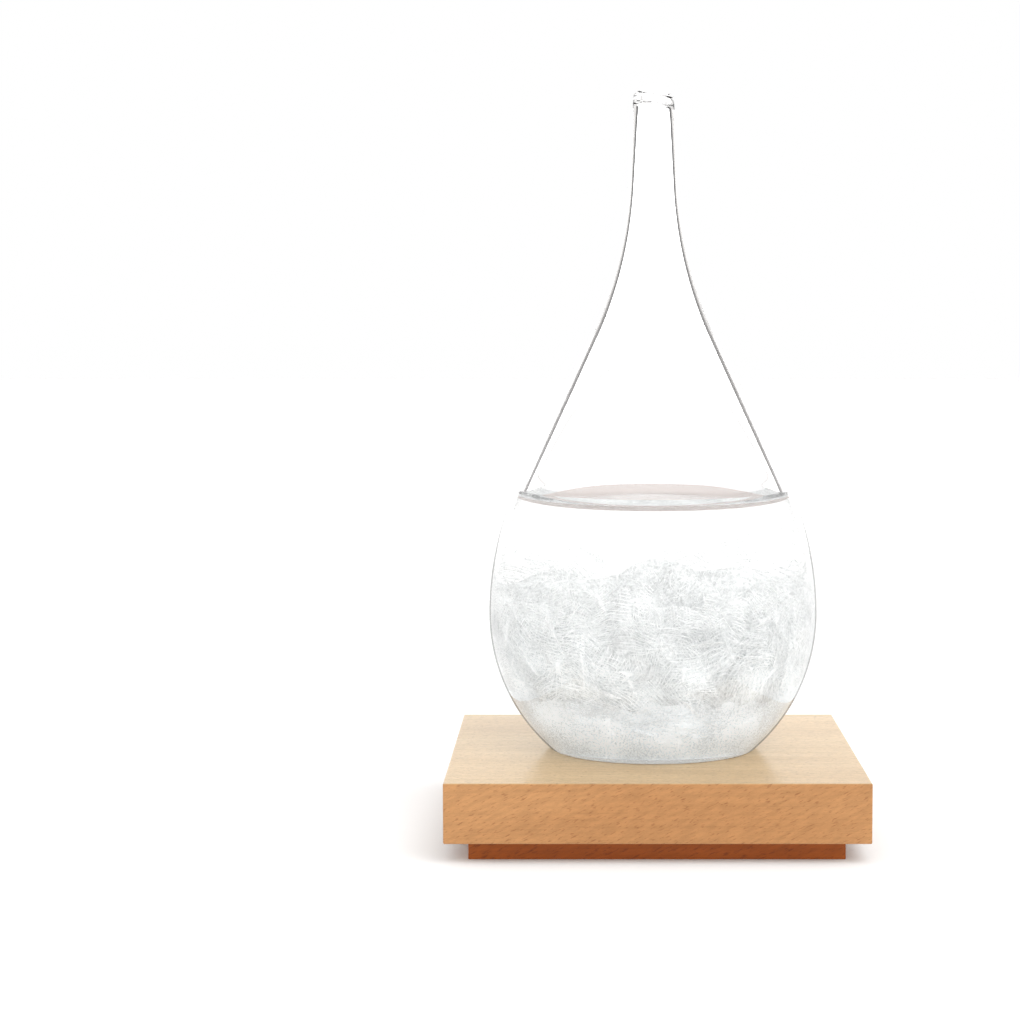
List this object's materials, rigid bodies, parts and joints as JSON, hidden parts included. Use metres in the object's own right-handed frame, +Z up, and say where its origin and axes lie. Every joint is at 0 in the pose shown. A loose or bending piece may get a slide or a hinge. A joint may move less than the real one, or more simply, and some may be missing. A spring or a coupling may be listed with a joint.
{
  "type": "storm glass",
  "caption": "Drop-shaped sealed glass vessel of clear liquid and white feathery crystals, standing loose on a square wooden base with a recessed foot.",
  "frame": {"origin": "centre of the foot's underside, on the surface that the base stands on", "axes": "+Z up along the axis of the glass drop; +X to the right and +Y away from the viewer, both square to the sides of the base"},
  "size_m": [0.075, 0.075, 0.1383],
  "materials": {
    "clear_glass": "polished",
    "clear_liquid": "polished",
    "white_crystal": "satin",
    "beech_wood": "satin",
    "dark_beech_wood": "satin"
  },
  "bodies": {
    "base": {"base_slab": "beech_wood", "base_foot": "dark_beech_wood"},
    "vessel": {"glass_vessel": "clear_glass", "neck_seal": "clear_glass", "storm_liquid": "clear_liquid", "crystal_bed": "white_crystal", "crystal_feathers": "white_crystal"}
  },
  "joints": [
    {"name": "vessel_lift", "type": "slide", "parent": "base", "child": "vessel", "axis": [0, 0, 1], "range_m": [0, 0.04]}
  ]
}
